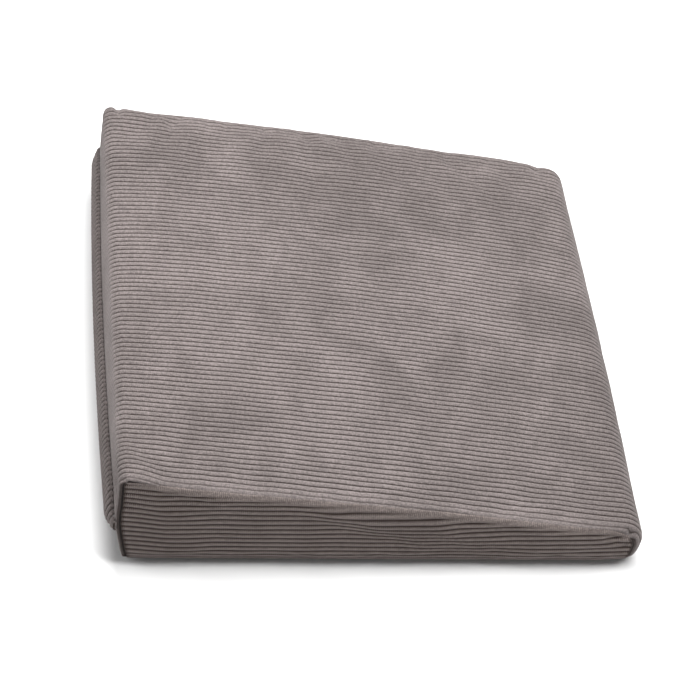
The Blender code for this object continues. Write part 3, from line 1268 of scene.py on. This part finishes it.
@dataclass
class ZipLap:
    """The doubled strip that hangs over the closure."""

    wedge: Wedge
    wales: Wales
    thickness: float = 0.0034
    end_thickness: float = 0.35
    gap: float = 0.0002
    proud: float = 0.0036
    hang_power: float = 1.8
    tuck_share: float = 0.10
    clearance: float = 0.0003
    sewn_in: float = 0.0004
    sewn_reach: float = 0.15
    end_taper: float = 0.34
    taper_length: float = 0.032
    face_points: int = 12
    fold_points: int = 5
    back_points: int = 4
    fold_turn: Span = (30.0, 150.0)

    def section(self) -> tuple[Array, Array, Array]:
        """Work out the fold's section.

        Returns:
            Share of the drop, turn about the fold in degrees, and True on the outer side.
        """
        face, fold, back = self.face_points, self.fold_points, self.back_points
        legs = (
            (np.linspace(0, 1, face), np.zeros(face)),
            (np.ones(fold), np.linspace(*self.fold_turn, fold)),
            (np.linspace(1, 0, back), np.full(back, 180)),
            (np.linspace(0, 1, back), np.full(back, 180)),
            ([1.0], [90.0]),
            (np.linspace(1, 0, back), np.zeros(back)),
        )
        drop, turn = (np.concatenate(part) for part in zip(*legs))
        return drop, turn, np.arange(drop.size) < face + fold + back

    def build(self) -> Object:
        """Build the folded strip.

        Returns:
            One closed body.
        """
        wedge = self.wedge
        low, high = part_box("zip_lap")
        left = wedge.shift - wedge.half_width
        roll = wedge.side_roll
        radius_end = roll.radius * wedge.thick_share
        roll_start = float(wedge.seam_depth(np.array(left), np.array(wedge.knee))) - radius_end
        half_length = roll_start + radius_end * roll.first_turn
        drop, turn, outer = self.section()
        rows_y = self.wales.rows(half_length)
        drop, y = np.meshgrid(drop, rows_y[np.abs(rows_y) <= half_length])
        off_middle = np.abs(y)
        turn = np.radians(np.broadcast_to(turn, drop.shape))
        tuck = np.sin(math.pi / 2 * np.clip((1 - off_middle / half_length) / self.tuck_share, 0, 1))
        half = self.thickness / 2 * (self.end_thickness + (1 - self.end_thickness) * tuck)
        radius = np.where(outer, half, self.gap / 2)
        z = high.z + (low.z + half - high.z) * drop
        whole = smooth(half_length - off_middle, 0.0, self.taper_length)
        middle = (high.z + low.z) / 2
        z = middle + (z - middle) * (self.end_taper + (1 - self.end_taper) * whole)
        hang = self.proud * tuck * (1 - (1 - drop) ** self.hang_power)
        turned = np.clip((off_middle - roll_start) / radius_end, 0, roll.first_turn)
        face = left + wedge.foot_draw * np.clip(1 - z / wedge.knee, 0, None)
        face = wedge.crown(face, z, y / wedge.seam_depth(face, z))[0]
        root = (self.clearance + self.sewn_in) * (1 - smooth(drop, 0.0, self.sewn_reach))
        off = self.clearance - root + hang + half + radius * np.cos(turn)
        x = face + radius_end * (1 - np.cos(turned)) - off * np.cos(turned)
        far = np.where(off_middle > roll_start, roll_start + radius_end * np.sin(turned), off_middle)
        z = z - radius * np.sin(turn)
        points = np.stack([x, np.sign(y) * (far + off * np.sin(turned)), z], -1)
        piece = new_tube("zip_lap_strip", points)
        steps = np.hypot(np.diff(x[0], append=x[0, 0]), np.diff(z[0], append=z[0, 0]))
        run = np.broadcast_to(np.concatenate([[0.0], np.cumsum(steps)[:-1]]), x.shape)
        store(piece, "wale_phase", y / self.wales.pitch)
        store(piece, "relief", np.where(outer, np.ones_like(y), 0.0))
        store_cloth_map(piece, run, y, float(steps.sum()))
        return piece


# --- Studio -------------------------------------------------------------------------------------


@dataclass(frozen=True)
class Softbox:
    """One area light."""

    name: str
    place: tuple[float, float, float]
    size: Span
    power: float


@dataclass(frozen=True)
class Studio:
    """The pale floor, the soft lights and the camera."""

    aim: tuple[float, float, float] = (-0.0031, -0.0205, 0.04)
    pitch: float = 44.38
    yaw: float = 12.21
    roll: float = 9.57
    distance: float = 1.993
    lens: float = 130.3
    sensor: float = 36.0
    floor_size: float = 14.0
    floor_colour: Colour = (0.74, 0.74, 0.74, 1.0)
    floor_roughness: float = 0.9
    floor_specular: float = 0.1
    ambient: float = 0.30
    clip_end: float = 50.0
    lights: tuple[Softbox, ...] = (
        Softbox("softbox_key", (0.05, 0.04, 2.0), (2.6, 0.34), 98.0),
        Softbox("softbox_left", (-1.8, 0.3, 1.2), (1.2, 1.2), 11.0),
        Softbox("softbox_right", (1.9, 0.5, 1.3), (1.0, 1.0), 7.0),
    )

    def build(self) -> None:
        """Build the floor, the lights, the ambient light and the camera."""
        self._floor()
        for light in self.lights:
            self._light(light)
        world = bpy.data.worlds.new("studio")
        world.use_nodes = True
        sky = {0: (1.0, 1.0, 1.0, 1.0), 1: self.ambient}
        TreeBuilder(world.node_tree).feed(world.node_tree.nodes["Background"], sky)
        bpy.context.scene.world = world
        bpy.context.scene.view_settings.view_transform = "Standard"
        self._camera()

    def _floor(self) -> None:
        """Lay the pale floor."""
        half = self.floor_size / 2
        corners = np.array([[-half, -half, 0], [half, -half, 0], [half, half, 0], [-half, half, 0]], float)
        floor = new_object("floor", corners, [[0, 1, 2, 3]])
        material = bpy.data.materials.new("floor_white")
        material.use_nodes = True
        TreeBuilder(material.node_tree).feed(material.node_tree.nodes["Principled BSDF"], {
            "Base Color": self.floor_colour, "Roughness": self.floor_roughness,
            "Specular IOR Level": self.floor_specular,
        })
        floor.data.materials.append(material)

    @staticmethod
    def _light(box: Softbox) -> None:
        """Hang one softbox, facing the cushion.

        Args:
            box: The softbox.
        """
        data = bpy.data.lights.new(box.name, "AREA")
        data.shape = "RECTANGLE"
        data.size, data.size_y = box.size
        data.energy = box.power
        lamp = bpy.data.objects.new(box.name, data)
        lamp.location = box.place
        lamp.rotation_euler = (-Vector(box.place)).to_track_quat("-Z", "Y").to_euler()
        bpy.context.scene.collection.objects.link(lamp)

    def _camera(self) -> None:
        """Set the camera."""
        pitch, yaw, roll = (math.radians(angle) for angle in (self.pitch, self.yaw, self.roll))
        forward = Vector((math.sin(yaw) * math.cos(pitch), math.cos(yaw) * math.cos(pitch), -math.sin(pitch)))
        right = Vector((math.cos(yaw), -math.sin(yaw), 0.0))
        up = right.cross(forward)
        turned_right = right * math.cos(roll) + up * math.sin(roll)
        turned_up = up * math.cos(roll) - right * math.sin(roll)
        data = bpy.data.cameras.new("camera")
        data.lens, data.sensor_width, data.clip_end = self.lens, self.sensor, self.clip_end
        camera = bpy.data.objects.new("camera", data)
        turn = Matrix((turned_right, turned_up, -forward)).transposed().to_4x4()
        camera.matrix_world = Matrix.Translation(Vector(self.aim) - forward * self.distance) @ turn
        bpy.context.scene.collection.objects.link(camera)
        bpy.context.scene.camera = camera


# --- Assembly -----------------------------------------------------------------------------------


# Each cloth's groove colour is partly the ground weave's own colour and partly painted shade in the grooves.
MAIN_CLOTH = Corduroy(
    "corduroy_main", (0.176, 0.151, 0.147, 1.0), (0.098, 0.084, 0.081, 1.0), (0.016, 0.010, 0.008, 1.0),
)
# The gusset cloth is darker, with wider dark grooves: partly its nap lying the other way, partly painted
# shade for the upright end faces, which get less light.
GUSSET_CLOTH = Corduroy(
    "corduroy_gusset", (0.156, 0.130, 0.122, 1.0), (0.116, 0.096, 0.089, 1.0), (0.012, 0.0056, 0.0038, 1.0),
    groove_depth=0.0007, fullness=1.7,
    groove_start=0.23, groove_end=0.39, groove_strength=0.98, tooth_bite=0.56, tooth_shade=0.14,
)
LAP_CLOTH = Corduroy(
    "corduroy_lap", (0.140, 0.119, 0.115, 1.0), (0.100, 0.085, 0.081, 1.0), (0.016, 0.010, 0.008, 1.0),
    fullness=2.2, groove_start=0.50, groove_end=0.85,
)

#: Creases of the main panel: X from the middle and cloth distance from the middle of the depth.
PANEL_CREASES = (
    Crease(-0.1975, -0.2100, 90, 0.004, 0.0025, -0.0022),
    Crease(-0.160, -0.203, 90, 0.030, 0.010, -0.0006),
    Crease(0.1830, -0.2120, 35, 0.008, 0.0022, -0.0036),
    Crease(0.1915, -0.2110, 120, 0.007, 0.0022, -0.0036),
    Crease(0.1878, -0.2145, 80, 0.006, 0.0020, -0.0032),
    Crease(0.020, -0.185, 150, 0.040, 0.010, -0.0008),
    Crease(0.100, -0.190, 35, 0.030, 0.009, -0.0008),
    Crease(-0.1872, 0.2070, 95, 0.008, 0.0028, -0.0030),
    Crease(-0.1595, 0.2030, 80, 0.016, 0.0045, -0.0012),
    Crease(-0.1468, 0.2050, 100, 0.018, 0.0040, -0.0014),
    Crease(-0.1375, 0.2020, 62, 0.016, 0.0045, -0.0020),
    Crease(-0.1142, 0.2040, 110, 0.016, 0.0045, -0.0013),
    Crease(-0.0960, 0.2040, 75, 0.018, 0.0050, -0.0016),
    Crease(0.1738, 0.2034, 70, 0.007, 0.0032, -0.0022),
)

#: Creases of the front gusset: X from the middle and height.
FRONT_CREASES = (
    Crease(-0.026, 0.048, -25, 0.032, 0.006, 0.0012),
    Crease(-0.010, 0.040, -25, 0.030, 0.006, -0.0012),
    Crease(0.056, 0.034, -27, 0.026, 0.006, 0.0010),
    Crease(0.070, 0.028, -27, 0.024, 0.005, -0.0010),
    Crease(-0.130, 0.068, 15, 0.030, 0.006, 0.0009),
    Crease(0.150, 0.018, 8, 0.025, 0.004, -0.0009),
    Crease(0.1760, 0.0335, 12, 0.010, 0.0022, -0.0022),
    Crease(0.1790, 0.0270, -20, 0.007, 0.0022, -0.0014),
)

#: Folds of the front gusset past which its wales lie lower.
FRONT_SLIPS = (
    Slip(-0.022, 0.044, 2.1, 0.018, 0.015, 0.170, 0.0062),
    Slip(0.060, 0.028, 2.1, 0.014, 0.009, 0.090, 0.0020),
    Slip(-0.150, 0.060, 1.5, 0.020, 0.012, 0.090, -0.0012),
)


def finish_piece(piece: Object, slot: Finish, *nodes: str) -> None:
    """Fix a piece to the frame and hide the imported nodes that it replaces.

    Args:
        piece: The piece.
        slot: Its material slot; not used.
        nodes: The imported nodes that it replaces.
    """
    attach(piece, BODY)
    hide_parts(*nodes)
    LOG.info("%s: %d faces", piece.name, len(piece.data.polygons))


def main() -> None:
    """Build the studio and every piece of the cushion in order."""
    logging.basicConfig(level=logging.INFO, format="%(name)s: %(message)s")
    Studio().build()
    wedge, wales = Wedge(), Wales()
    pile = Pile(wales.pitch)
    masks, nap = pile.masks(), pile.nap()
    filling = Filling(wedge)
    panel = MainPanel(wedge, wales, filling, creases=(*PANEL_CREASES, *Gathers().creases()))
    body = wales.sink(panel.build(), MAIN_CLOTH, MAIN_CLOTH.material(masks, nap))
    finish_piece(body, Finish.MAIN, "cushion")
    gusset_material = GUSSET_CLOTH.material(masks, nap)
    for name, side, creases, slips in (
        ("front_gusset", -1, FRONT_CREASES, FRONT_SLIPS), ("back_gusset", 1, (), ()),
    ):
        gusset = Gusset(wedge, wales, filling, side, name + "_panel", creases, slips).build()
        gusset = wales.sink(gusset, GUSSET_CLOTH, gusset_material)
        finish_piece(gusset, Finish.GUSSET, name)
    lap = wales.sink(ZipLap(wedge, wales).build(), LAP_CLOTH, LAP_CLOTH.material(masks, nap))
    finish_piece(lap, Finish.LAP, "zip_lap")
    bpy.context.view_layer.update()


if __name__ == "__main__":
    main()
